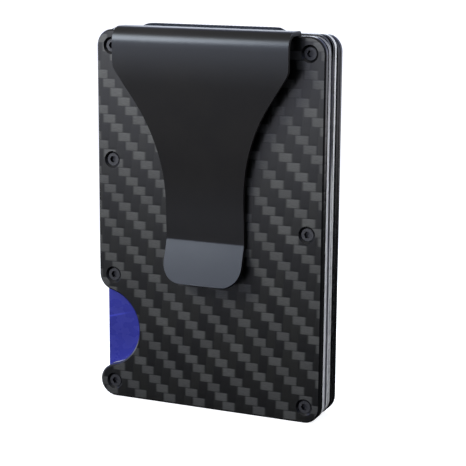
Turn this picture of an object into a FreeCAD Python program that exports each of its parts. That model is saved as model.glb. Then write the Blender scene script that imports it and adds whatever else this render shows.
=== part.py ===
import FreeCAD, Part
import math
import os

# Slim card wallet with a spring money clip, standing on its short end.
# Millimetres. +X to the right, +Y from the clip side to the back, +Z up the long side.
# The origin is the centre of the bounding box's bottom face.

# Plates: each side is a carbon fibre outer plate screwed to an aluminium inner frame.
# A step round the frame's rim leaves a narrow dark gap along the seam.
PLATE_W = 54.9
PLATE_H = 86.0
CORNER_R = 3.8
OUTER_T = 1.6
FRAME_T = 1.85
SLOT_T = 4.0
FACE_CHAMFER = 0.35
EDGE_BREAK = 0.2
SEAM_GAP = 0.35
SEAM_INSET = 0.4

# Thumb notch: one arc that runs tangent into round lobes about the two screws beside it.
NOTCH_INSET = 0.7

# Countersunk M2 screws.
SCREW_INSET = 3.66
LEFT_UPPER_SCREW_Z = 56.4
LEFT_LOWER_SCREW_Z = 29.4
COUNTERSINK_D = 3.9
SCREW_SINK = 0.4
SCREW_RIM = 0.08
SCREW_D = 2.0
SCREW_LENGTH = 3.0
SCREW_HOLE_D = 2.1
SOCKET_ACROSS_CORNERS = 1.65
SOCKET_DEPTH = 0.8

# Money clip: one bent strip of spring steel.
CLIP_T = 1.0
CLIP_RISE = 5.2
CLIP_W = 41.8
CLIP_BEND_R = 3.0
CLIP_SHOULDER_Z = 78.2
CLIP_SHOULDER_R = 3.0
CLIP_KNEE_Z = 78.5
CLIP_KNEE_R = 70.0
CLIP_SWEEP_Z = 50.5
CLIP_SWEEP_GAP = 0.8
CLIP_SWEEP_R = 150.0
CLIP_WAIST_W = 19.0
CLIP_WAIST_Z = 49.0
CLIP_WAIST_R = 40.0
CLIP_CREASE_Z = 39.5
CLIP_CREASE_GAP = 0.2
CLIP_CREASE_R = 1.3
CLIP_TIP_Z = 29.9
CLIP_TIP_FLARE_DEG = 18.0
CLIP_TIP_CORNER_R = 4.6
CLIP_FLEX_INSET = 0.3
EAR_INNER_X = 18.5
EAR_BEND_R = 0.7
EAR_R = 2.9
EAR_HOLE_D = 2.4
EAR_POCKET_GAP = 0.1

# Elastic bands: legs clamped between outer plate and frame, bridge over the slot.
BAND_LEG_T = 0.7
BAND_LEG = 9.0
BAND_RELIEF = 1.0
BAND_GAP = 0.1
END_BAND_W = 32.6
END_BAND_X = -1.4
SIDE_BAND_W = 20.0
TOP_CROWN = 1.3
SIDE_CROWN = 0.6
CROWN_SHOULDER = 0.25
CROWN_END = 1.1

# Payment cards of the standard ID-1 size, each lying a little to the right of the middle.
CARD_SHIFTS = [0.05, 0.0, 0.3, 0.4, 0.2]
CARD_W = 53.98
CARD_H = 85.6
CARD_T = 0.76
CARD_R = 3.18
CARD_FLOOR_Z = 0.65
CARD_BAND_GAP = 0.03

# Places worked out from the sizes above.
HALF_W = PLATE_W / 2
STACK_T = 2 * (OUTER_T + FRAME_T) + SLOT_T
Y_FRONT = (CLIP_RISE - STACK_T) / 2
Y_SEAM = Y_FRONT + OUTER_T
Y_SLOT = Y_SEAM + FRAME_T
Y_MID = Y_FRONT + STACK_T / 2
SCREW_X = HALF_W - SCREW_INSET
SCREW_TOP_Z = PLATE_H - SCREW_INSET
SIDE_BAND_Z = (LEFT_UPPER_SCREW_Z + LEFT_LOWER_SCREW_Z) / 2
SCREW_PLACES = [
    (-SCREW_X, SCREW_TOP_Z),
    (-SCREW_X, LEFT_UPPER_SCREW_Z),
    (-SCREW_X, LEFT_LOWER_SCREW_Z),
    (-SCREW_X, SCREW_INSET),
    (SCREW_X, SCREW_TOP_Z),
    (SCREW_X, PLATE_H / 2),
    (SCREW_X, SCREW_INSET),
]
Y_AXIS = FreeCAD.Vector(0, 1, 0)


def xz(x, z, y=0.0):
    return FreeCAD.Vector(x, y, z)


def line(start, end):
    return Part.makeLine(start, end)


def arc(centre, radius, start_deg, end_deg):
    """Arc in an XZ plane, from one angle to another by way of their mean."""
    angles = (start_deg, (start_deg + end_deg) / 2, end_deg)
    points = [
        centre + xz(radius * math.cos(math.radians(a)), radius * math.sin(math.radians(a)))
        for a in angles
    ]
    return Part.Arc(*points).toShape()


def prism(edges, y, depth):
    """Closed outline in an XZ plane, given depth along +Y from y."""
    face = Part.Face(Part.Wire(edges))
    face.translate(FreeCAD.Vector(0, y, 0))
    return face.extrude(Y_AXIS * depth)


def box(x0, x1, y0, y1, z0, z1):
    return Part.makeBox(x1 - x0, y1 - y0, z1 - z0, FreeCAD.Vector(x0, y0, z0))


def cylinder(x, z, y, radius, depth):
    return Part.makeCylinder(radius, depth, xz(x, z, y), Y_AXIS)


def mirrored_to_back(shape):
    return shape.mirror(FreeCAD.Vector(0, Y_MID, 0), Y_AXIS)


def angle_of(vector):
    return math.degrees(math.atan2(vector.z, vector.x))


# ---------------------------------------------------------------- plates and frames


def plate_outline(inset=0.0):
    """Rounded rectangle with the thumb notch low on the left side, drawn in by inset."""
    r = CORNER_R - inset
    inner_x = HALF_W - CORNER_R
    side_x = inner_x + r
    high_z = PLATE_H - CORNER_R
    low_lobe = xz(-inner_x, CORNER_R)
    high_lobe = xz(-inner_x, LEFT_LOWER_SCREW_Z)
    notch = xz(NOTCH_INSET - HALF_W, (CORNER_R + LEFT_LOWER_SCREW_Z) / 2)
    notch_r = (high_lobe - notch).Length - r
    to_high = angle_of(high_lobe - notch)
    return [
        line(xz(-inner_x, inset), xz(inner_x, inset)),
        arc(xz(inner_x, CORNER_R), r, -90, 0),
        line(xz(side_x, CORNER_R), xz(side_x, high_z)),
        arc(xz(inner_x, high_z), r, 0, 90),
        line(xz(inner_x, high_z + r), xz(-inner_x, high_z + r)),
        arc(xz(-inner_x, high_z), r, 90, 180),
        line(xz(-side_x, high_z), xz(-side_x, LEFT_LOWER_SCREW_Z)),
        arc(high_lobe, r, 180, 180 + to_high),
        arc(notch, notch_r, to_high, -to_high),
        arc(low_lobe, r, 180 - to_high, 270),
    ]


def chamfer_outline(plate, y, size):
    """Break every edge of the plate that lies in the plane at y."""
    rim = [e for e in plate.Edges if all(abs(v.Y - y) < 1e-6 for v in e.Vertexes)]
    return plate.makeChamfer(size, rim)


def countersunk_hole(x, z):
    cone_depth = (COUNTERSINK_D - SCREW_HOLE_D) / 2
    cone = Part.makeCone(
        COUNTERSINK_D / 2, SCREW_HOLE_D / 2, cone_depth, xz(x, z, Y_FRONT), Y_AXIS
    )
    return cone.fuse(cylinder(x, z, Y_FRONT, SCREW_HOLE_D / 2, OUTER_T))


def front_plate():
    plate = prism(plate_outline(), Y_FRONT, OUTER_T)
    plate = chamfer_outline(plate, Y_FRONT, FACE_CHAMFER)
    plate = chamfer_outline(plate, Y_SEAM, EDGE_BREAK)
    for x, z in SCREW_PLACES:
        plate = plate.cut(countersunk_hole(x, z))
    return plate


def band_pockets():
    """Room in the front frame for the three bands' legs and bridges."""
    x0 = END_BAND_X - END_BAND_W / 2 - BAND_GAP
    x1 = END_BAND_X + END_BAND_W / 2 + BAND_GAP
    z0 = SIDE_BAND_Z - SIDE_BAND_W / 2 - BAND_GAP
    z1 = SIDE_BAND_Z + SIDE_BAND_W / 2 + BAND_GAP
    leg = BAND_LEG + BAND_GAP
    pocket_y = Y_SEAM + BAND_LEG_T
    return [
        box(x0, x1, Y_SEAM, pocket_y, PLATE_H - leg, PLATE_H),
        box(x0, x1, Y_SEAM, Y_SLOT, PLATE_H - BAND_RELIEF, PLATE_H),
        box(x0, x1, Y_SEAM, pocket_y, 0, leg),
        box(x0, x1, Y_SEAM, Y_SLOT, 0, BAND_RELIEF),
        box(-HALF_W, leg - HALF_W, Y_SEAM, pocket_y, z0, z1),
        box(-HALF_W, BAND_RELIEF - HALF_W, Y_SEAM, Y_SLOT, z0, z1),
    ]


def bare_frame():
    step = prism(plate_outline(SEAM_INSET), Y_SEAM, SEAM_GAP)
    rim = prism(plate_outline(), Y_SEAM + SEAM_GAP, FRAME_T - SEAM_GAP)
    frame = step.fuse(chamfer_outline(rim, Y_SLOT, EDGE_BREAK))
    for pocket in band_pockets():
        frame = frame.cut(pocket)
    for x, z in SCREW_PLACES:
        frame = frame.cut(cylinder(x, z, Y_SEAM, SCREW_HOLE_D / 2, FRAME_T))
    return frame


def front_frame():
    """The clip-side frame also has a pocket for each ear of the clip."""
    frame = bare_frame()
    for side in (-1, 1):
        frame = frame.cut(ear(side, EAR_POCKET_GAP, 0))
    return frame


# ---------------------------------------------------------------- screws


def screw(x, z):
    """Countersunk screw, its cone on the plate's cone and its head below the face."""
    head_y = Y_FRONT + SCREW_SINK
    rim_r = COUNTERSINK_D / 2 - SCREW_SINK - SCREW_RIM
    cone_h = rim_r - SCREW_D / 2
    rim_y = head_y + SCREW_RIM
    top = Part.makeCone(rim_r - SCREW_RIM, rim_r, SCREW_RIM, xz(x, z, head_y), Y_AXIS)
    cone = Part.makeCone(rim_r, SCREW_D / 2, cone_h, xz(x, z, rim_y), Y_AXIS)
    body = top.fuse([cone, cylinder(x, z, head_y, SCREW_D / 2, SCREW_LENGTH)])
    corners = [
        xz(
            x + SOCKET_ACROSS_CORNERS / 2 * math.cos(math.radians(60 * i)),
            z + SOCKET_ACROSS_CORNERS / 2 * math.sin(math.radians(60 * i)),
        )
        for i in range(6)
    ]
    sides = [line(corners[i - 1], corners[i]) for i in range(6)]
    return body.cut(prism(sides, head_y, SOCKET_DEPTH)).removeSplitter()


# ---------------------------------------------------------------- money clip


def strip(points, radii, thickness, x0, x1):
    """Sheet bent along a centre line in the YZ plane, with a radius at each inner point."""
    sides = {1: [], -1: []}
    ends = {1: [], -1: []}
    for sign in (1, -1):
        here = points[0]
        for i in range(1, len(points)):
            run = (points[i] - points[i - 1]).normalize()
            normal = FreeCAD.Vector(0, -run.z, run.y) * (sign * thickness / 2)
            stop = points[i]
            if i < len(points) - 1:
                after = (points[i + 1] - points[i]).normalize()
                turn = math.acos(run.dot(after))
                reach = radii[i - 1] * math.tan(turn / 2)
                stop = points[i] - run * reach
            if not ends[sign]:
                ends[sign].append(here + normal)
            sides[sign].append(line(here + normal, stop + normal))
            if i == len(points) - 1:
                ends[sign].append(stop + normal)
                continue
            here = points[i] + after * reach
            to_centre = (after - run).normalize()
            centre = points[i] + to_centre * (radii[i - 1] / math.cos(turn / 2))
            after_normal = FreeCAD.Vector(0, -after.z, after.y) * (sign * thickness / 2)
            start = stop + normal
            end = here + after_normal
            middle = centre - to_centre * (start - centre).Length
            sides[sign].append(Part.Arc(start, middle, end).toShape())
    caps = [line(ends[1][k], ends[-1][k]) for k in (0, 1)]
    wire = Part.Wire(Part.__sortEdges__(sides[1] + sides[-1] + caps))
    face = Part.Face(wire)
    face.translate(FreeCAD.Vector(x0, 0, 0))
    return face.extrude(FreeCAD.Vector(x1 - x0, 0, 0))


def yz(y, z):
    return FreeCAD.Vector(0, y, z)


def clip_split_y():
    """The plane where the clip's root ends and its springing arm begins."""
    return Y_FRONT - CLIP_RISE + CLIP_T / 2 + CLIP_BEND_R + CLIP_FLEX_INSET


def clip_front_outline():
    """Wide shoulders, edges that curve in to a narrow waist, and a round-cornered tip."""
    half_top = CLIP_W / 2
    half_waist = CLIP_WAIST_W / 2
    top_z = PLATE_H + 2 * CLIP_T
    centre = xz(half_waist + CLIP_WAIST_R, CLIP_WAIST_Z)
    shoulder = xz(half_top, CLIP_SHOULDER_Z)
    reach = shoulder - centre
    tangent_deg = angle_of(reach) + math.degrees(math.acos(CLIP_WAIST_R / reach.Length))
    slope = math.radians(180 - tangent_deg)
    cut = CLIP_SHOULDER_R * math.tan(slope / 2)
    tip_r = CLIP_TIP_CORNER_R
    tangent = centre + xz(
        CLIP_WAIST_R * math.cos(math.radians(tangent_deg)),
        CLIP_WAIST_R * math.sin(math.radians(tangent_deg)),
    )
    diagonal_end = shoulder - xz(math.sin(slope), math.cos(slope)) * cut
    shoulder_centre = shoulder + xz(-CLIP_SHOULDER_R, cut)
    right = [
        line(xz(0, top_z), xz(half_top, top_z)),
        line(xz(half_top, top_z), xz(half_top, CLIP_SHOULDER_Z + cut)),
        arc(shoulder_centre, CLIP_SHOULDER_R, 0, -math.degrees(slope)),
        line(diagonal_end, tangent),
        arc(centre, CLIP_WAIST_R, tangent_deg, 180),
        line(xz(half_waist, CLIP_WAIST_Z), xz(half_waist, CLIP_TIP_Z + tip_r)),
        arc(xz(half_waist - tip_r, CLIP_TIP_Z + tip_r), tip_r, 0, -90),
        line(xz(half_waist - tip_r, CLIP_TIP_Z), xz(0, CLIP_TIP_Z)),
    ]
    left = [e.mirror(FreeCAD.Vector(0, 0, 0), FreeCAD.Vector(1, 0, 0)) for e in right]
    return Part.__sortEdges__(right + left)


def clip_arm():
    """From the top of the bend over and down the front to the flared tip."""
    outer_y = Y_FRONT - CLIP_RISE + CLIP_T / 2
    sweep_y = Y_FRONT - CLIP_SWEEP_GAP - CLIP_T / 2
    crease_y = Y_FRONT - CLIP_CREASE_GAP - CLIP_T / 2
    tip_drop = CLIP_CREASE_Z - CLIP_TIP_Z + CLIP_T
    tip_out = tip_drop * math.tan(math.radians(CLIP_TIP_FLARE_DEG))
    points = [
        yz(clip_split_y(), PLATE_H + CLIP_T / 2),
        yz(outer_y, PLATE_H + CLIP_T / 2),
        yz(outer_y, CLIP_KNEE_Z),
        yz(sweep_y, CLIP_SWEEP_Z),
        yz(crease_y, CLIP_CREASE_Z),
        yz(crease_y - tip_out, CLIP_CREASE_Z - tip_drop),
    ]
    radii = [CLIP_BEND_R, CLIP_KNEE_R, CLIP_SWEEP_R, CLIP_CREASE_R]
    sheet = strip(points, radii, CLIP_T, -CLIP_W / 2, CLIP_W / 2)
    depth = CLIP_RISE + OUTER_T
    outline = prism(clip_front_outline(), Y_FRONT - CLIP_RISE - CLIP_T, depth + CLIP_T)
    return sheet.common(outline).removeSplitter()


def ear(side, gap, hole_d):
    """Tab between plate and frame, from the plates' top edge down round a corner screw."""
    x_in = EAR_INNER_X - gap
    x_out = CLIP_W / 2 + gap
    radius = EAR_R + gap
    neck = box(x_in, x_out, Y_SEAM, Y_SEAM + CLIP_T, SCREW_TOP_Z, PLATE_H)
    low_z = SCREW_TOP_Z - radius
    high_z = SCREW_TOP_Z + radius
    tab = box(x_in, SCREW_X, Y_SEAM, Y_SEAM + CLIP_T, low_z, high_z)
    end = cylinder(SCREW_X, SCREW_TOP_Z, Y_SEAM, radius, CLIP_T)
    shape = neck.fuse([tab, end])
    if hole_d:
        shape = shape.cut(cylinder(SCREW_X, SCREW_TOP_Z, Y_SEAM, hole_d / 2, CLIP_T))
    if side < 0:
        shape = shape.mirror(FreeCAD.Vector(0, 0, 0), FreeCAD.Vector(1, 0, 0))
    return shape


def clip_root():
    """Flat over the plate's top edge, with an ear bent down on each side of the band."""
    flat_y = Y_SEAM - BAND_GAP
    flat = box(-CLIP_W / 2, CLIP_W / 2, clip_split_y(), flat_y, PLATE_H, PLATE_H + CLIP_T)
    points = [
        yz(clip_split_y(), PLATE_H + CLIP_T / 2),
        yz(Y_SEAM + CLIP_T / 2, PLATE_H + CLIP_T / 2),
        yz(Y_SEAM + CLIP_T / 2, SCREW_TOP_Z),
    ]
    shape = flat
    for side in (-1, 1):
        x0, x1 = sorted((side * EAR_INNER_X, side * CLIP_W / 2))
        bend = strip(points, [EAR_BEND_R], CLIP_T, x0, x1)
        shape = shape.fuse([bend, ear(side, 0, EAR_HOLE_D)])
    return shape.removeSplitter()


# ---------------------------------------------------------------- elastic bands


def band(width, crown, underside):
    """Band over the plates' top edges, centred on x = 0 with the edges at z = 0."""
    mirror_y = 2 * Y_MID
    leg_in = Y_SEAM + BAND_LEG_T
    shoulder = min(CROWN_SHOULDER, crown)
    front = [
        yz(Y_SEAM, shoulder),
        yz(Y_SEAM, -BAND_LEG),
        yz(leg_in, -BAND_LEG),
        yz(leg_in, -BAND_RELIEF),
        yz(Y_SLOT, -BAND_RELIEF),
        yz(Y_SLOT, underside),
    ]
    back = [yz(mirror_y - p.y, p.z) for p in reversed(front)]
    outline = front + back
    edges = [line(outline[i], outline[i + 1]) for i in range(len(outline) - 1)]
    if crown > shoulder:
        edges.append(Part.Arc(outline[-1], yz(Y_MID, crown), outline[0]).toShape())
    else:
        edges.append(line(outline[-1], outline[0]))
    face = Part.Face(Part.Wire(edges))
    face.translate(FreeCAD.Vector(-width / 2, 0, 0))
    solid = face.extrude(FreeCAD.Vector(width, 0, 0))
    if crown > shoulder:
        solid = solid.common(band_end_trim(width, crown, shoulder))
    return solid


def band_end_trim(width, crown, shoulder):
    """The bridge narrows towards its crown, as a stretched band does."""
    half = width / 2
    corners = [
        xz(-half, -BAND_LEG),
        xz(half, -BAND_LEG),
        xz(half, shoulder),
        xz(half - CROWN_END, crown),
        xz(CROWN_END - half, crown),
        xz(-half, shoulder),
    ]
    sides = [line(corners[i - 1], corners[i]) for i in range(len(corners))]
    return prism(sides, Y_SEAM, 2 * (Y_MID - Y_SEAM))


def turned(shape, degrees, offset):
    """Turn a band about the Y axis, then move it to its edge."""
    shape = shape.copy()
    shape.rotate(FreeCAD.Vector(0, 0, 0), Y_AXIS, degrees)
    shape.translate(offset)
    return shape


def top_elastic():
    underside = CARD_FLOOR_Z + CARD_H + CARD_BAND_GAP - PLATE_H
    return turned(band(END_BAND_W, TOP_CROWN, underside), 0, xz(END_BAND_X, PLATE_H))


def bottom_elastic():
    underside = CARD_BAND_GAP - CARD_FLOOR_Z
    return turned(band(END_BAND_W, 0, underside), 180, xz(END_BAND_X, 0))


def side_elastic():
    underside = CARD_W / 2 + CARD_BAND_GAP - HALF_W
    return turned(band(SIDE_BAND_W, SIDE_CROWN, underside), -90, xz(-HALF_W, SIDE_BAND_Z))


# ---------------------------------------------------------------- cards


def card(index):
    gap = (SLOT_T - len(CARD_SHIFTS) * CARD_T) / (len(CARD_SHIFTS) + 1)
    y = Y_SLOT + gap + index * (CARD_T + gap)
    half_x = CARD_W / 2 - CARD_R
    low_z = CARD_FLOOR_Z + CARD_R
    high_z = CARD_FLOOR_Z + CARD_H - CARD_R
    r = CARD_R
    outline = [
        line(xz(-half_x, low_z - r), xz(half_x, low_z - r)),
        arc(xz(half_x, low_z), r, -90, 0),
        line(xz(half_x + r, low_z), xz(half_x + r, high_z)),
        arc(xz(half_x, high_z), r, 0, 90),
        line(xz(half_x, high_z + r), xz(-half_x, high_z + r)),
        arc(xz(-half_x, high_z), r, 90, 180),
        line(xz(-half_x - r, high_z), xz(-half_x - r, low_z)),
        arc(xz(-half_x, low_z), r, 180, 270),
    ]
    solid = prism(outline, y, CARD_T)
    solid.translate(xz(CARD_SHIFTS[index], 0))
    return solid


# ---------------------------------------------------------------- all the pieces


def build():
    pieces = {
        "front_plate": front_plate(),
        "front_frame": front_frame(),
        "back_plate": mirrored_to_back(front_plate()),
        "back_frame": mirrored_to_back(bare_frame()),
        "clip_root": clip_root(),
        "clip_arm": clip_arm(),
        "top_elastic": top_elastic(),
        "bottom_elastic": bottom_elastic(),
        "side_elastic": side_elastic(),
    }
    for number, (x, z) in enumerate(SCREW_PLACES, start=1):
        pieces[f"front_screw_{number}"] = screw(x, z)
        pieces[f"back_screw_{number}"] = mirrored_to_back(screw(x, z))
    for index in range(len(CARD_SHIFTS)):
        pieces[f"card_{index + 1}"] = card(index)
    return pieces


os.makedirs("parts", exist_ok=True)
for name, shape in build().items():
    shape.exportStep(f"parts/{name}.step")
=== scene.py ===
import bmesh
import bpy
import math
from mathutils import Matrix, Vector


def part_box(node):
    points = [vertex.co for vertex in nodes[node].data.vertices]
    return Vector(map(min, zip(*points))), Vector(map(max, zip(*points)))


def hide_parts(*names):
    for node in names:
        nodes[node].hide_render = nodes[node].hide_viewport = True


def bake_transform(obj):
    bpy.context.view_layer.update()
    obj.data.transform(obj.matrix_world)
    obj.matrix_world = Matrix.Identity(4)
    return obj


# Looks of the slim card wallet and its spring money clip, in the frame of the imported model.
# Sizes are in millimetres and become metres by MM. The studio's places are in metres.

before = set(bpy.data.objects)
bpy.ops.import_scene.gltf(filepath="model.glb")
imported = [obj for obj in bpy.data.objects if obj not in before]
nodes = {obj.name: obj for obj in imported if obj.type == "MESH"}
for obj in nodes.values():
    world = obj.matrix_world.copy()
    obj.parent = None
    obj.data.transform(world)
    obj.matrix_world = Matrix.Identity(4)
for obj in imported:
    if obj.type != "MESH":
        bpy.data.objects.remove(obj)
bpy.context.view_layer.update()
MM = 0.001


def box_mm(node):
    """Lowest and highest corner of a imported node, in millimetres."""
    low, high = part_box(node)
    return low / MM, high / MM


FRONT_LOW, FRONT_HIGH = box_mm("front_plate")
ROOT_LOW, ROOT_HIGH = box_mm("clip_root")
ARM_LOW, ARM_HIGH = box_mm("clip_arm")
PLATE_TOP = FRONT_HIGH.z
Y_FRONT = FRONT_LOW.y
Y_SEAM = FRONT_HIGH.y
Y_BACK_SEAM = box_mm("back_plate")[0].y
Y_SLOT = box_mm("front_frame")[1].y

# Distances below this count as none.
TINY = 0.001

# ---------------------------------------------------------------- shader nodes


class Nodes:
    """A node tree, with short ways to add and link its nodes."""

    def __init__(self, tree):
        self.tree = tree

    def put(self, socket, value):
        """Link a socket to another one, or set it to a constant."""
        if isinstance(value, bpy.types.NodeSocket):
            self.tree.links.new(value, socket)
        else:
            socket.default_value = value

    def add(self, kind, inputs, **settings):
        """A new node with its settings, and its inputs by name or number."""
        node = self.tree.nodes.new("ShaderNode" + kind)
        for name, value in settings.items():
            setattr(node, name, value)
        for name, value in inputs.items():
            self.put(node.inputs[name], value)
        return node

    def calc(self, operation, *values):
        """The result of a math node."""
        node = self.tree.nodes.new("ShaderNodeMath")
        node.operation = operation
        for socket, value in zip(node.inputs, values):
            self.put(socket, value)
        return node.outputs[0]

    def span(self, value, low, high, to_low, to_high, course="LINEAR"):
        """A value taken from to_low at low to to_high at high, and held beyond them."""
        inputs = {"Value": value, "From Min": low, "From Max": high}
        inputs.update({"To Min": to_low, "To Max": to_high})
        return self.add("MapRange", inputs, interpolation_type=course).outputs["Result"]


class Shader(Nodes):
    """One new material, with short ways to make its patterns."""

    def __init__(self, name, constants):
        self.material = bpy.data.materials.new(name)
        self.material.use_nodes = True
        super().__init__(self.material.node_tree)
        self.surface = self.tree.nodes["Principled BSDF"]
        for socket, value in constants.items():
            self.surface.inputs[socket].default_value = value

    def ramp(self, value, low, high, to_low=0.0, to_high=1.0):
        """Smooth step from to_low at low to to_high at high."""
        return self.span(value, low, high, to_low, to_high, "SMOOTHSTEP")

    def mix(self, share, first, second):
        """The first colour at share 0, the second at share 1."""
        node = self.add("Mix", {}, data_type="RGBA")
        self.put(node.inputs[0], share)
        self.put(node.inputs[6], first)
        self.put(node.inputs[7], second)
        return node.outputs[2]

    def shade(self, colour, factor):
        """A colour or vector times a factor."""
        node = self.add("VectorMath", {0: colour}, operation="SCALE")
        self.put(node.inputs["Scale"], factor)
        return node.outputs[0]

    def place(self):
        """Where the surface point lies, in millimetres: x, y and z."""
        metres = self.add("TexCoord", {}).outputs["Object"]
        return self.add("SeparateXYZ", {0: self.shade(metres, 1 / MM)}).outputs

    def broad_face(self, limit):
        """1 where the surface faces along Y more squarely than the limit, 0 on its edges."""
        normal = self.add("TexCoord", {}).outputs["Normal"]
        squareness = self.calc("ABSOLUTE", self.add("SeparateXYZ", {0: normal}).outputs["Y"])
        return self.calc("GREATER_THAN", squareness, limit)

    def vector(self, x, y, z):
        """The three numbers as one vector."""
        return self.add("CombineXYZ", {"X": x, "Y": y, "Z": z}).outputs[0]

    def stretched(self, x, y, z, scale_x, scale_y, scale_z):
        """The surface point with each axis scaled, to draw a pattern out along one of them."""
        pairs = ((x, scale_x), (y, scale_y), (z, scale_z))
        return self.vector(*(self.calc("MULTIPLY", value, scale) for value, scale in pairs))

    def noise(self, vector, scale, detail):
        """Cloudy pattern about 0.5, with scale its cells per unit of the vector."""
        inputs = {"Vector": vector, "Scale": scale, "Detail": detail}
        return self.add("TexNoise", inputs).outputs["Fac"]

    def bump(self, height, depth, strength):
        """Surface normal for a height from 0 to 1 that is depth millimetres deep."""
        inputs = {"Height": height, "Distance": depth * MM, "Strength": strength}
        return self.add("Bump", inputs).outputs["Normal"]

    def finish(self, colour, roughness, normal):
        """Link the three patterns to the surface and return the material."""
        self.put(self.surface.inputs["Base Color"], colour)
        self.put(self.surface.inputs["Roughness"], roughness)
        self.put(self.surface.inputs["Normal"], normal)
        return self.material


def grey(value, blue=1.0):
    """A grey, made warmer or cooler by the factor on its blue."""
    return (value, value, value * blue, 1.0)


# ---------------------------------------------------------------- materials

# How squarely the broad faces look along Y: flat ones, and ones with a rounded rim.
FLAT = 0.9
ROUNDED = 0.7

# Twill: the tows' widths, where one cell starts, and the cells of a float and of a repeat.
TOW_X = 1.87
TOW_Z = 2.012
WEAVE_X = 3.6
WEAVE_Z = 0.4
FLOAT_CELLS = 2
REPEAT_CELLS = 4
STRANDS_PER_MM = 14.0
STRAND_STRETCH = 0.8

# Painted light and shade by height: two heights, and the two shares of the tone that hold there.
# The frame's rim and the dark and mixed cards' edges get painted shade towards the top; the pale
# cards' edges get a painted reflection that is brighter towards the top.
RIM_SHADE_BY_HEIGHT = (60.0, 82.0, 1.0, 0.4)
DARK_CARD_LIGHT_AND_SHADE = (15.0, 60.0, 1.8, 0.15)
MIXED_CARD_SHADE_BY_HEIGHT = (50.0, 62.0, 0.9, 0.05)
PALE_CARD_REFLECTION_BY_HEIGHT = (20.0, 75.0, 0.75, 1.2)

# Painted shade at the top end of the cards' faces, where they pass under the top band: where it sets
# in, and where it is full.
TOP_SHADE_START_Z = PLATE_TOP - 7.0
TOP_SHADE_Z = PLATE_TOP - 3.0

# The pale line that a bend left on a card: half its core, half its width, and its gain.
CREASE_CORE = 0.05
CREASE_HALF = 0.35
CREASE_GAIN = 0.8


def carbon_fibre():
    """2x2 twill under a thin matt resin, its level floats painted paler as a painted sheen, with the
    laminate's layers on the cut edges.
    """
    resin = {"Specular IOR Level": 0.4, "Coat Weight": 0.4, "Coat Roughness": 0.2}
    look = Shader("carbon_fibre", resin)
    x, y, z = look.place()
    cells_x = look.calc("DIVIDE", look.calc("SUBTRACT", x, WEAVE_X), TOW_X)
    cells_z = look.calc("DIVIDE", look.calc("SUBTRACT", z, WEAVE_Z), TOW_Z)
    column = look.calc("FLOOR", cells_x)
    row = look.calc("FLOOR", cells_z)
    in_column = look.calc("SUBTRACT", cells_x, column)
    in_row = look.calc("SUBTRACT", cells_z, row)
    step = look.calc("FLOORED_MODULO", look.calc("ADD", column, row), REPEAT_CELLS)
    upright = look.calc("GREATER_THAN", step, FLOAT_CELLS - 0.5)
    level = look.calc("SUBTRACT", 1.0, upright)
    up_step = look.calc("SUBTRACT", step, FLOAT_CELLS)

    def choose(for_level, for_upright):
        """The first value on the level floats, the second on the upright ones."""
        flat = look.calc("MULTIPLY", level, for_level)
        return look.calc("MULTIPLY_ADD", upright, for_upright, flat)

    along = look.calc(
        "DIVIDE",
        choose(look.calc("ADD", step, in_column), look.calc("ADD", up_step, in_row)),
        FLOAT_CELLS,
    )
    across = choose(in_row, in_column)

    def crown(share, power):
        """1 in the middle of the float, 0 at its two edges."""
        centred = look.calc("ABSOLUTE", look.calc("MULTIPLY_ADD", share, 2.0, -1.0))
        return look.calc("SUBTRACT", 1.0, look.calc("POWER", centred, power))

    float_id = look.vector(
        choose(look.calc("SUBTRACT", column, step), column),
        choose(row, look.calc("SUBTRACT", row, up_step)),
        upright,
    )
    tone = look.add("TexWhiteNoise", {"Vector": float_id}).outputs["Value"]
    strand_along = look.calc("MULTIPLY", choose(x, z), STRAND_STRETCH)
    strand_across = look.calc("MULTIPLY", choose(z, x), STRANDS_PER_MM)
    strands = look.noise(look.vector(strand_along, strand_across, upright), 1.0, 3.0)
    across_edge = look.ramp(crown(across, 2.0), -0.06, 0.3)
    along_edge = look.ramp(crown(along, 2.0), 0.12, 0.66)
    edge = look.calc("MULTIPLY", across_edge, along_edge)
    warm = look.noise(look.vector(x, y, z), 0.12, 1.0)
    # The level floats' pale tone is a painted sheen: painted paler than the upright floats in place
    # of the light their fibres reflect.
    light = look.mix(warm, grey(0.073, 0.86), grey(0.066, 0.92))
    dark = look.mix(look.ramp(tone, 0.2, 0.9), grey(0.003, 0.7), grey(0.008, 0.7))
    colour = look.mix(look.calc("MULTIPLY", level, edge), dark, light)
    streak = look.ramp(strands, 0.3, 0.7, 0.78, 1.22)
    vary = look.calc("MULTIPLY_ADD", tone, 0.3, 0.85)
    weave = look.shade(colour, look.calc("MULTIPLY", streak, vary))
    layers = look.noise(look.stretched(x, y, z, 0.3, 9.0, 0.3), 1.0, 2.0)
    cut_edge = look.mix(layers, grey(0.003), grey(0.02))
    face = look.broad_face(FLAT)
    height = look.calc("MULTIPLY", crown(across, 4.0), crown(along, 6.0))
    height = look.calc("MULTIPLY_ADD", strands, 0.25, height)
    matt = look.ramp(strands, 0.2, 0.8, 0.3, 0.4)
    roughness = look.calc("MULTIPLY_ADD", face, look.calc("SUBTRACT", matt, 0.14), 0.14)
    return look.finish(look.mix(face, cut_edge, weave), roughness, look.bump(height, 0.03, 0.6))


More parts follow.
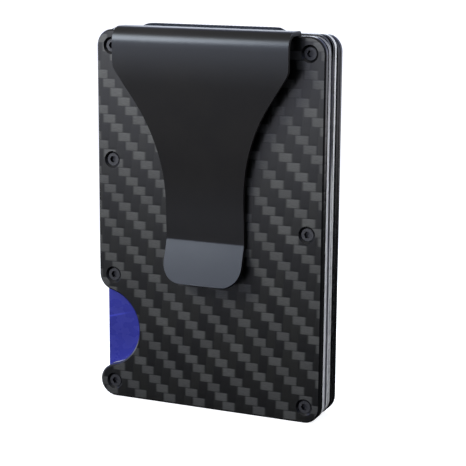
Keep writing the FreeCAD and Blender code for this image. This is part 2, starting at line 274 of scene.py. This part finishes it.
def frame_aluminium(name, rim, worn_rim, gloss):
    """Black anodised aluminium with a fine grain up the wallet, and a milled rim in two tones. The
    rim's colours carry painted light and shade, and the rim is painted darker towards the top.
    """
    look = Shader(name, {"Specular IOR Level": gloss})
    x, y, z = look.place()
    grain = look.noise(look.stretched(x, y, z, 8.0, 8.0, 0.6), 1.0, 3.0)
    cloud = look.noise(look.vector(x, y, z), 0.25, 2.0)
    worn = look.ramp(cloud, 0.35, 0.7)
    face = look.mix(look.calc("MULTIPLY", grain, worn), grey(0.004, 1.04), grey(0.03))
    milled = look.mix(look.ramp(grain, 0.35, 0.65), rim, worn_rim)
    # The rim is painted darker towards the top: painted shade.
    milled = look.shade(milled, look.ramp(z, *RIM_SHADE_BY_HEIGHT))
    base = look.mix(look.broad_face(ROUNDED), milled, face)
    rough = look.ramp(grain, 0.3, 0.7, 0.2, 0.3)
    return look.finish(base, rough, look.bump(grain, 0.004, 0.4))


def coated_steel():
    """Satin black coat over spring steel: a fine orange peel and faint rubbed patches."""
    coat = {"Specular IOR Level": 0.42, "Specular Tint": (0.84, 0.92, 1.0, 1.0)}
    look = Shader("clip_steel", coat)
    x, y, z = look.place()
    at = look.vector(x, y, z)
    peel = look.noise(at, 1.6, 1.0)
    rubbed = look.ramp(look.noise(at, 0.09, 3.0), 0.42, 0.72)
    base = look.mix(rubbed, (0.0148, 0.0134, 0.0122, 1), (0.0188, 0.0172, 0.0156, 1))
    base = look.shade(base, look.ramp(peel, 0.2, 0.8, 0.97, 1.03))
    rough = look.calc("MULTIPLY_ADD", rubbed, -0.03, look.ramp(peel, 0.2, 0.8, 0.31, 0.33))
    return look.finish(base, rough, look.bump(peel, 0.002, 0.15))


def blackened_screw():
    """Blackened steel with a coarse grain, with painted shade on its bevels and bores, which are
    darker than its flat faces.
    """
    look = Shader("black_screw", {"Specular IOR Level": 0.6, "Metallic": 0.35})
    x, y, z = look.place()
    grain = look.noise(look.vector(x, y, z), 6.0, 3.0)
    face = look.broad_face(FLAT)
    # Bevels and the socket's bore are painted darker than the flat faces: painted shade in the
    # recesses.
    base = look.mix(face, grey(0.02), grey(0.055, 1.04))
    base = look.shade(base, look.ramp(grain, 0.3, 0.7, 0.75, 1.25))
    return look.finish(base, look.ramp(grain, 0.3, 0.7, 0.3, 0.42), look.bump(grain, 0.006, 0.6))


def woven_elastic():
    """Dark navy elastic webbing: close stitches with painted shade between them, and uneven paler
    patches.
    """
    look = Shader("elastic", {"Specular IOR Level": 0.12})
    x, y, z = look.place()
    stitches = {"Vector": look.stretched(x, y, z, 1.6, 1.0, 1.6), "Scale": 2.6}
    yarn = look.add("TexVoronoi", stitches).outputs["Distance"]
    patch = look.noise(look.stretched(x, y, z, 1.0, 1.6, 1.6), 1.5, 2.0)
    base = look.mix(look.ramp(patch, 0.42, 0.64), (0.005, 0.0065, 0.013, 1), (0.05, 0.061, 0.084, 1))
    # Each stitch is painted paler in its middle and darker towards its hollow rim: painted shade
    # between the stitches.
    base = look.shade(base, look.ramp(yarn, 0.0, 0.6, 1.35, 0.5))
    height = look.calc("SUBTRACT", 1.0, yarn)
    return look.finish(base, look.ramp(yarn, 0.1, 0.6, 0.6, 0.85), look.bump(height, 0.08, 0.8))


def bent_line(look, x, z, start, end_x, rise):
    """A faint pale line from its start, as x and z, that dies out towards end_x."""
    start_x, start_z = start
    along = look.calc("SUBTRACT", x, start_x)
    line_z = look.calc("MULTIPLY_ADD", along, rise, start_z)
    off = look.calc("ABSOLUTE", look.calc("SUBTRACT", z, line_z))
    near = look.ramp(off, CREASE_CORE, CREASE_HALF, 1.0, 0.0)
    length = look.ramp(x, start_x, end_x, 1.0, 0.0)
    return look.calc("MULTIPLY_ADD", look.calc("MULTIPLY", near, length), CREASE_GAIN, 1.0)


def printed_card(name, face_colour, face_shade, core, skin, edge_light_and_shade=None, crease=None, gloss=0.4):
    """Plastic card: plain coloured faces, and thin layers of core and skin on its cut edge.
    fade, if given, paints light and shade on the edge by height, and crease is the start, end and
    rise of a pale line."""
    film = {"Specular IOR Level": gloss, "Coat Weight": gloss / 2, "Coat Roughness": 0.12}
    look = Shader(name, film)
    x, y, z = look.place()
    at = look.vector(x, y, z)
    swirl = look.noise(at, 0.11, 2.0)
    printed = look.mix(look.ramp(swirl, 0.35, 0.65), face_colour, face_shade)
    rubbed = look.noise(look.stretched(x, y, z, 1.2, 1.0, 1.6), 0.3, 2.0)
    printed = look.shade(printed, look.ramp(rubbed, 0.35, 0.7, 0.97, 1.04))
    if crease:
        printed = look.shade(printed, bent_line(look, x, z, *crease))
    # Painted shade over the faces' top end, under the top band.
    printed = look.mix(look.ramp(z, TOP_SHADE_START_Z, TOP_SHADE_Z), printed, grey(0.006))
    layers = look.noise(look.stretched(x, y, z, 0.15, 7.0, 0.15), 1.0, 2.0)
    cut = look.mix(look.ramp(layers, 0.42, 0.62), core, skin)
    if edge_light_and_shade:
        # Painted light and shade on the cut edge by height.
        cut = look.shade(cut, look.ramp(z, *edge_light_and_shade))
    face = look.broad_face(ROUNDED)
    grain = look.noise(at, 5.0, 2.0)
    rough = look.ramp(rubbed, 0.3, 0.7, 0.22, 0.34)
    return look.finish(look.mix(face, cut, printed), rough, look.bump(grain, 0.003, 0.4))


def floor_paper():
    """Pale sheet with a soft sheen that glows a little, so that it stays light all over."""
    glow = {"Emission Color": grey(1.0), "Emission Strength": 0.75}
    look = Shader("floor_paper", {"Specular IOR Level": 0.6, **glow})
    x, y, z = look.place()
    grain = look.noise(look.vector(x, y, z), 1.5, 3.0)
    base = look.mix(grain, grey(0.83), grey(0.85))
    return look.finish(base, look.ramp(grain, 0.3, 0.7, 0.10, 0.13), look.bump(grain, 0.002, 0.1))


CARBON = carbon_fibre()
# The two frames are one aluminium: the front frame's rim is painted pale as painted light, the back
# frame's rim dark and less glossy as painted shade.
LIT_RIM_FRAME = frame_aluminium("frame_lit_rim", grey(0.5), grey(0.8, 0.97), 0.4)
SHADED_RIM_FRAME = frame_aluminium("frame_shaded_rim", grey(0.004), grey(0.012), 0.12)
CLIP_METAL = coated_steel()
SCREW_METAL = blackened_screw()
ELASTIC = woven_elastic()
BLUE = (0.038, 0.044, 0.31, 1)
WORN_BLUE = (0.042, 0.049, 0.35, 1)
WHITE = grey(0.72, 0.97)
WORN_WHITE = grey(0.8, 0.95)
PALE_CORE = grey(0.8, 0.96)
PALE_SKIN = grey(0.5, 0.98)
BLUE_CREASE = ((-27.0, 18.2), -19.0, 0.28)
BLUE_TONES = (BLUE, WORN_BLUE, grey(0.05), grey(0.02))
DARK_TONES = (grey(0.02), grey(0.03), grey(0.05), grey(0.1))
PALE_TONES = (WHITE, WORN_WHITE, PALE_CORE, PALE_SKIN)
BLUE_CARD = printed_card("card_blue", *BLUE_TONES, crease=BLUE_CREASE)
# The dark and mixed cards' edges carry painted shade towards the top, the pale cards' edges a
# painted reflection.
DARK_CARD = printed_card("card_dark", *DARK_TONES, edge_light_and_shade=DARK_CARD_LIGHT_AND_SHADE, gloss=0.05)
MIXED_CARD = printed_card("card_white_shaded_edge", *PALE_TONES, edge_light_and_shade=MIXED_CARD_SHADE_BY_HEIGHT, gloss=0.15)
PALE_CARD = printed_card("card_white", *PALE_TONES, edge_light_and_shade=PALE_CARD_REFLECTION_BY_HEIGHT)


def paint(node, material):
    """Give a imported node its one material."""
    node.data.materials.clear()
    node.data.materials.append(material)


for name, node in nodes.items():
    if name.endswith("_plate"):
        paint(node, CARBON)
    elif name == "front_frame":
        paint(node, LIT_RIM_FRAME)
    elif name == "back_frame":
        paint(node, SHADED_RIM_FRAME)
    elif "_screw_" in name:
        paint(node, SCREW_METAL)
    elif name == "card_1":
        paint(node, BLUE_CARD)
    elif name == "card_2":
        paint(node, DARK_CARD)
    elif name == "card_3":
        paint(node, MIXED_CARD)
    elif name.startswith("card_"):
        paint(node, PALE_CARD)

# ---------------------------------------------------------------- mesh helpers

# The steps of one rounded corner, the longest step on a path, and the least angle kept sharp.
ARC_STEPS = 10
LONGEST_STEP = 1.2
SHARP_ANGLE = math.radians(50)


def new_piece(name, bm, material):
    """A smooth-shaded object from a mesh built in millimetres."""
    bmesh.ops.remove_doubles(bm, verts=bm.verts, dist=TINY)
    bmesh.ops.recalc_face_normals(bm, faces=bm.faces)
    bmesh.ops.scale(bm, vec=(MM, MM, MM), verts=bm.verts)
    mesh = bpy.data.meshes.new(name)
    bm.to_mesh(mesh)
    bm.free()
    mesh.polygons.foreach_set("use_smooth", [True] * len(mesh.polygons))
    mesh.materials.append(material)
    piece = bpy.data.objects.new(name, mesh)
    bpy.context.scene.collection.objects.link(piece)
    return piece


def apply_modifiers(piece):
    """Turn the piece's modifiers into its own mesh."""
    bpy.context.view_layer.update()
    graph = bpy.context.evaluated_depsgraph_get()
    finished = bpy.data.meshes.new_from_object(piece.evaluated_get(graph))
    piece.modifiers.clear()
    piece.data = finished


def turns_between(start, end, steps):
    """Angles from start to end, both given in degrees and both included."""
    return [math.radians(start + (end - start) * i / steps) for i in range(steps + 1)]


def rounded_path(points, radii):
    """Points along straight runs joined by tangent arcs, no further apart than LONGEST_STEP."""
    path = [points[0]]
    for before, corner, after, radius in zip(points, points[1:], points[2:], radii):
        run = (corner - before).normalized()
        next_run = (after - corner).normalized()
        turn = run.angle(next_run)
        reach = radius * math.tan(turn / 2)
        centre = corner + (next_run - run).normalized() * (radius / math.cos(turn / 2))
        start = corner - run * reach - centre
        turn = math.copysign(turn, run.x * next_run.y - run.y * next_run.x)
        for i in range(ARC_STEPS + 1):
            path.append(centre + Matrix.Rotation(turn * i / ARC_STEPS, 2) @ start)
    path.append(points[-1])
    filled = [path[0]]
    for point in path[1:]:
        here = filled[-1]
        parts = math.ceil((point - here).length / LONGEST_STEP)
        filled += [here.lerp(point, i / parts) for i in range(1, parts + 1)]
    return filled


# ---------------------------------------------------------------- money clip

# The strip, from its bend down to its tip: T is its thickness, R a radius, Z a height, and GAP
# how far its back stands off the plate.
CLIP_T = ROOT_HIGH.z - PLATE_TOP
CLIP_HALF = ARM_HIGH.x
CLIP_BEND_R = 3.0
CLIP_SHOULDER_Z = 78.2
CLIP_SHOULDER_R = 3.0
CLIP_KNEE_Z = 78.5
CLIP_KNEE_R = 70.0
CLIP_SWEEP_Z = 50.5
CLIP_SWEEP_GAP = 0.8
CLIP_SWEEP_R = 150.0
CLIP_WAIST = 9.5
CLIP_WAIST_Z = 49.0
CLIP_WAIST_R = 40.0
CLIP_CREASE_Z = 39.5
CLIP_CREASE_GAP = 0.2
CLIP_CREASE_R = 1.3
CLIP_TIP_Z = 29.9
CLIP_TIP_FLARE = math.radians(18.0)
CLIP_TIP_R = 4.6
CLIP_EDGE_R = 0.14

# The ears between plate and frame, each about a top corner screw.
EAR_INNER_X = 18.5
EAR_BEND_R = 0.7
EAR_R = 2.9
EAR_HOLE_R = 1.2
SCREW_LOW, SCREW_HIGH = box_mm("front_screw_5")
SCREW_X = (SCREW_LOW.x + SCREW_HIGH.x) / 2
SCREW_Z = (SCREW_LOW.z + SCREW_HIGH.z) / 2
EAR_Y = Y_SEAM + CLIP_T / 2
EAR_SHARE = EAR_INNER_X / CLIP_HALF

# Where the sheet's columns lie, as shares of its half width at each height.
CLIP_COLUMNS = [-1.0, -EAR_SHARE, -0.6, -0.3, 0.0, 0.3, 0.6, EAR_SHARE, 1.0]

# The steps round the tip's corners, an ear's end and an ear's hole.
TIP_STEPS = 12
EAR_STEPS = 12
HOLE_STEPS = 18


def clip_half_width(z):
    """Half the strip's width at a height: square shoulders, a drawn-in waist, a round tip."""
    waist_x = CLIP_WAIST + CLIP_WAIST_R
    to_shoulder = Vector((CLIP_HALF - waist_x, CLIP_SHOULDER_Z - CLIP_WAIST_Z))
    tangent = math.atan2(to_shoulder.y, to_shoulder.x)
    tangent += math.acos(CLIP_WAIST_R / to_shoulder.length)
    slope = math.pi - tangent
    cut = CLIP_SHOULDER_R * math.tan(slope / 2)
    if z >= CLIP_SHOULDER_Z + cut:
        return CLIP_HALF
    if z >= CLIP_SHOULDER_Z - cut * math.cos(slope):
        drop = CLIP_SHOULDER_Z + cut - z
        return CLIP_HALF - CLIP_SHOULDER_R + math.sqrt(CLIP_SHOULDER_R**2 - drop**2)
    if z >= CLIP_WAIST_Z + CLIP_WAIST_R * math.sin(tangent):
        return CLIP_HALF - (CLIP_SHOULDER_Z - z) * math.tan(slope)
    if z >= CLIP_WAIST_Z:
        return waist_x - math.sqrt(CLIP_WAIST_R**2 - (z - CLIP_WAIST_Z) ** 2)
    drop = max(0.0, CLIP_TIP_Z + CLIP_TIP_R - z)
    return CLIP_WAIST - CLIP_TIP_R + math.sqrt(max(0.0, CLIP_TIP_R**2 - drop**2))


def clip_path():
    """The strip's centre line, as y and z, from the ears' necks to the flared tip."""
    middle_z = PLATE_TOP + CLIP_T / 2
    outer_y = ARM_LOW.y + CLIP_T / 2
    sweep_y = Y_FRONT - CLIP_SWEEP_GAP - CLIP_T / 2
    crease_y = Y_FRONT - CLIP_CREASE_GAP - CLIP_T / 2

    def on_tip(z):
        """The point of the flared tip at a height."""
        return Vector((crease_y - (CLIP_CREASE_Z - z) * math.tan(CLIP_TIP_FLARE), z))

    corners = [
        Vector((EAR_Y, SCREW_Z + EAR_R)),
        Vector((EAR_Y, middle_z)),
        Vector((outer_y, middle_z)),
        Vector((outer_y, CLIP_KNEE_Z)),
        Vector((sweep_y, CLIP_SWEEP_Z)),
        Vector((crease_y, CLIP_CREASE_Z)),
        on_tip(CLIP_TIP_Z + CLIP_TIP_R),
    ]
    radii = [EAR_BEND_R, CLIP_BEND_R, CLIP_KNEE_R, CLIP_SWEEP_R, CLIP_CREASE_R]
    turns = turns_between(0, 90, TIP_STEPS)[1:]
    round_end = [on_tip(CLIP_TIP_Z + CLIP_TIP_R * (1 - math.sin(a))) for a in turns]
    return rounded_path(corners, radii) + round_end


def add_ear_tab(bm, side):
    """Flat tab with a round end about a corner screw, and the hole that the screw passes."""
    turns = turns_between(90, -90, EAR_STEPS)
    outline = [(EAR_INNER_X, EAR_R), (CLIP_HALF, EAR_R)]
    outline += [(SCREW_X + EAR_R * math.cos(a), EAR_R * math.sin(a)) for a in turns]
    outline.append((EAR_INNER_X, -EAR_R))
    turns = turns_between(0, 360, HOLE_STEPS)[:-1]
    hole = [(SCREW_X + EAR_HOLE_R * math.cos(a), EAR_HOLE_R * math.sin(a)) for a in turns]
    edges = []
    for loop in (outline, hole):
        verts = [bm.verts.new((side * x, EAR_Y, SCREW_Z + z)) for x, z in loop]
        edges += [bm.edges.new((verts[i - 1], verts[i])) for i in range(len(verts))]
    bmesh.ops.triangle_fill(bm, edges=edges, use_beauty=True)


def clip_sheet():
    """The strip as an open sheet: two ears at the back edge, then the full width."""
    bm = bmesh.new()
    bend_end_y = EAR_Y - EAR_BEND_R
    rows = []
    for y, z in clip_path():
        half = clip_half_width(z)
        is_ear = y > bend_end_y + TINY
        rows.append((is_ear, [bm.verts.new((share * half, y, z)) for share in CLIP_COLUMNS]))
    last = len(CLIP_COLUMNS) - 2
    for (is_ear, above), (_, below) in zip(rows, rows[1:]):
        for i in range(last + 1):
            if not is_ear or i in (0, last):
                bm.faces.new((above[i], above[i + 1], below[i + 1], below[i]))
    for side in (-1, 1):
        add_ear_tab(bm, side)
    loose = [v for v in bm.verts if not v.link_faces]
    bmesh.ops.delete(bm, geom=loose, context="VERTS")
    return bm


def build_clip():
    """The bent strip in one piece, in place of the imported root and arm, which it hides."""
    clip = new_piece("money_clip", clip_sheet(), CLIP_METAL)
    sheet = clip.modifiers.new("sheet", "SOLIDIFY")
    sheet.thickness = CLIP_T * MM
    sheet.offset = 0.0
    sheet.use_even_offset = True
    edges = clip.modifiers.new("edges", "BEVEL")
    edges.width = CLIP_EDGE_R * MM
    edges.segments = 3
    edges.limit_method = "ANGLE"
    edges.angle_limit = SHARP_ANGLE
    edges.harden_normals = True
    apply_modifiers(clip)
    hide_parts("clip_root", "clip_arm")
    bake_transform(clip)


build_clip()

# ---------------------------------------------------------------- elastic bands

# Ribs: their pitch and depth, the steps of one rib, and how far under the edge they end.
RIB_PITCH = 0.92
RIB_DEPTH = 0.09
RIB_STEPS = 6
RIB_FOOT = 0.3

# Bridge: the steps and fullness of its crown, the crown's shoulder, its gap to the cards, how
# far it fills the space between the frames, and the length over which its ends round off.
CROWN_STEPS = 18
CROWN_POWER = 0.8
BAND_SHOULDER = 0.25
BAND_GAP = 0.03
BAND_RELIEF = 1.0
END_LENGTH = 1.3
LEG_T = 0.7


def band_profile(leg, crown, underside):
    """Cross-section round the bridge and its two legs, with z = 0 at the plates' edge.
    The third value says whether the point sinks between two ribs."""
    middle = (Y_SEAM + Y_BACK_SEAM) / 2
    half = (Y_BACK_SEAM - Y_SEAM) / 2
    shoulder = min(BAND_SHOULDER, crown)
    front = [(-half, z, False) for z in (-leg, -leg / 2, -BAND_RELIEF, -RIB_FOOT)]
    over = []
    for angle in turns_between(180, 0, CROWN_STEPS):
        rise = (crown - shoulder) * abs(math.sin(angle)) ** CROWN_POWER
        over.append((half * math.cos(angle), shoulder + rise, True))
    back = [(-y, z, sinks) for y, z, sinks in reversed(front)]
    slot_half = middle - Y_SLOT
    inner = [
        (half - LEG_T, -leg, False),
        (half - LEG_T, -BAND_RELIEF, False),
        (slot_half, -BAND_RELIEF, False),
        (slot_half, underside, False),
    ]
    inner += [(-y, z, sinks) for y, z, sinks in reversed(inner)]
    return [(middle + y, z, sinks) for y, z, sinks in front + over + back + inner]


def elastic_band(node, width, leg, crown, underside, turn, offset):
    """Ribbed band, made over a level edge, then turned about Y and moved to its own edge."""
    bm = bmesh.new()
    count = round(width / RIB_PITCH) * RIB_STEPS
    profile = band_profile(leg, crown, underside)
    loops = []
    for i in range(count + 1):
        x = width * (i / count - 0.5)
        rib = RIB_DEPTH * (0.5 - 0.5 * math.cos(math.tau * i / RIB_STEPS))
        past_end = max(0.0, (abs(x) - width / 2) / END_LENGTH + 1)
        swell = math.sqrt(1 - past_end**2)
        loop = []
        for y, z, sinks in profile:
            crowned = max(0.0, z - BAND_SHOULDER)
            z += crowned * (swell - 1) - rib * sinks
            loop.append(bm.verts.new((x, y, z)))
        loops.append(loop)
    for here, there in zip(loops, loops[1:]):
        for k in range(len(profile)):
            bm.faces.new((here[k - 1], here[k], there[k], there[k - 1]))
    bm.faces.new(loops[0])
    bm.faces.new(loops[-1])
    place = Matrix.Translation(offset) @ Matrix.Rotation(math.radians(turn), 4, "Y")
    bmesh.ops.transform(bm, matrix=place, verts=bm.verts)
    bmesh.ops.triangulate(bm, faces=[f for f in bm.faces if len(f.verts) > 4])
    band = new_piece(node + "_webbing", bm, ELASTIC)
    crease = band.modifiers.new("crease", "EDGE_SPLIT")
    crease.split_angle = SHARP_ANGLE
    apply_modifiers(band)
    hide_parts(node)
    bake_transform(band)


def build_bands():
    """The three bands, over the wallet's top, bottom and left edges."""
    card_low, card_high = box_mm("card_2")
    low, high = box_mm("top_elastic")
    middle_x = (low.x + high.x) / 2
    width = high.x - low.x
    leg = PLATE_TOP - low.z
    crown = high.z - PLATE_TOP
    underside = card_high.z + BAND_GAP - PLATE_TOP
    over_top = Vector((middle_x, 0, PLATE_TOP))
    elastic_band("top_elastic", width, leg, crown, underside, 0, over_top)
    under_foot = Vector((middle_x, 0, 0))
    underside = BAND_GAP - card_low.z
    elastic_band("bottom_elastic", width, leg, 0.0, underside, 180, under_foot)
    low, high = box_mm("side_elastic")
    crown = FRONT_LOW.x - low.x
    underside = FRONT_LOW.x - card_low.x + BAND_GAP
    beside = Vector((FRONT_LOW.x, 0, (low.z + high.z) / 2))
    elastic_band("side_elastic", high.z - low.z, leg, crown, underside, -90, beside)


build_bands()

# ---------------------------------------------------------------- floor, lights and camera

# The floor: half its side, its cells, the flat share of the way out, and its steepness there.
FLOOR_HALF = 3.0
FLOOR_CELLS = 24
FLOOR_FLAT = 0.6
FLOOR_STEEPNESS = 1.6

# Wall colours by the sine of the elevation, from the ground to overhead.
WALLS = [
    (-0.19, (0.008, 0.008, 0.008)),
    (-0.14, (1.35, 1.33, 1.4)),
    (0.0, (1.8, 1.9, 2.35)),
    (0.2, (0.78, 0.85, 1.15)),
    (0.45, (0.72, 0.84, 1.4)),
    (0.7, (0.3, 0.3, 0.31)),
]

# The shares of the walls' light that are left behind the wallet and at its front right. Each
# one sets in over a range of how far the direction points that way.
BACK_WALL_SHARE = 0.4
BACK_WALL_RANGE = (-0.3, 0.6)
FRONT_RIGHT = (1.0, -1.0, 0.0)
FRONT_RIGHT_SHARE = 0.05
FRONT_RIGHT_RANGE = (0.75, 1.25)

# The soft boxes' colours.
COOL_WHITE = (0.86, 0.92, 1.0)
NEUTRAL_WHITE = (1.0, 1.0, 1.0)
KEY_WHITE = (0.96, 0.98, 1.0)

# The camera: its place, its turns about X, Y and Z in degrees, and its lens and film in mm.
CAMERA_PLACE = (0.1315, -0.29413, 0.10902)
CAMERA_TURNS = (78.056, -0.365, 23.335)
LENS_LENGTH = 112.53
FILM_WIDTH = 36.0


def lay_floor():
    """A pale sheet, flat under the wallet, that curves up towards its far edges."""
    bm = bmesh.new()
    bmesh.ops.create_grid(bm, x_segments=FLOOR_CELLS, y_segments=FLOOR_CELLS, size=FLOOR_HALF)
    for vert in bm.verts:
        reach = vert.co.xy.length / FLOOR_HALF
        vert.co.z = FLOOR_STEEPNESS * max(0.0, reach - FLOOR_FLAT) ** 2
    mesh = bpy.data.meshes.new("floor")
    bm.to_mesh(mesh)
    bm.free()
    mesh.polygons.foreach_set("use_smooth", [True] * len(mesh.polygons))
    mesh.materials.append(floor_paper())
    floor = bpy.data.objects.new("floor", mesh)
    floor.visible_glossy = False
    floor.visible_diffuse = False
    bpy.context.scene.collection.objects.link(floor)


def area_light(name, place, target, size, power, spread, colour):
    """A soft box in metres and watts, aimed at a target, with its spread in degrees."""
    light = bpy.data.lights.new(name, "AREA")
    light.shape = "RECTANGLE"
    light.size, light.size_y = size
    light.energy = power
    light.spread = math.radians(spread)
    light.color = colour
    lamp = bpy.data.objects.new(name, light)
    lamp.location = place
    aim = Vector(target) - Vector(place)
    lamp.rotation_euler = aim.to_track_quat("-Z", "Y").to_euler()
    lamp.visible_camera = False
    bpy.context.scene.collection.objects.link(lamp)


def build_walls():
    """Walls that darken at the ground, overhead, behind the wallet and at its front right."""
    world = bpy.data.worlds.new("studio")
    world.use_nodes = True
    sky = Nodes(world.node_tree)
    background = sky.tree.nodes["Background"].inputs
    direction = sky.add("TexCoord", {}).outputs["Generated"]
    split = sky.add("SeparateXYZ", {0: direction}).outputs
    walls = sky.add("ValToRGB", {"Fac": sky.span(split["Z"], -1.0, 1.0, 0.0, 1.0)})
    stops = walls.color_ramp.elements
    while len(stops) < len(WALLS):
        stops.new(1.0)
    for stop, (sine, colour) in zip(stops, WALLS):
        stop.position = (sine + 1) / 2
        stop.color = (*colour, 1)
    dot = sky.add("VectorMath", {0: direction, 1: FRONT_RIGHT}, operation="DOT_PRODUCT")
    behind = sky.span(split["Y"], *BACK_WALL_RANGE, 1.0, BACK_WALL_SHARE)
    beside = sky.span(dot.outputs["Value"], *FRONT_RIGHT_RANGE, 1.0, FRONT_RIGHT_SHARE)
    sky.put(background["Color"], walls.outputs["Color"])
    sky.put(background["Strength"], sky.calc("MULTIPLY", behind, beside))
    bpy.context.scene.world = world


def place_lights():
    """Four soft boxes: the key at the front left, two at the right and one behind."""
    over_top = (0, 0, 0.12)
    area_light("key", (-0.15, -0.16, 0.205), over_top, (0.17, 0.14), 0.2, 70, KEY_WHITE)
    area_light("rim", (0.3, 0.3, 0.3), over_top, (0.2, 0.2), 0.12, 60, COOL_WHITE)
    area_light("side", (0.4, 0.12, 0.14), (0, 0, 0.05), (0.3, 0.3), 0.2, 90, NEUTRAL_WHITE)
    area_light("back", (-0.26, 0.6, 0.22), over_top, (0.35, 0.2), 0.085, 90, COOL_WHITE)


def place_camera():
    """The camera, with colours shown as they are."""
    lens = bpy.data.cameras.new("camera")
    lens.sensor_width = FILM_WIDTH
    lens.lens = LENS_LENGTH
    camera = bpy.data.objects.new("camera", lens)
    camera.location = CAMERA_PLACE
    camera.rotation_euler = [math.radians(turn) for turn in CAMERA_TURNS]
    bpy.context.scene.collection.objects.link(camera)
    bpy.context.scene.camera = camera
    bpy.context.scene.view_settings.view_transform = "Standard"


lay_floor()
build_walls()
place_lights()
place_camera()
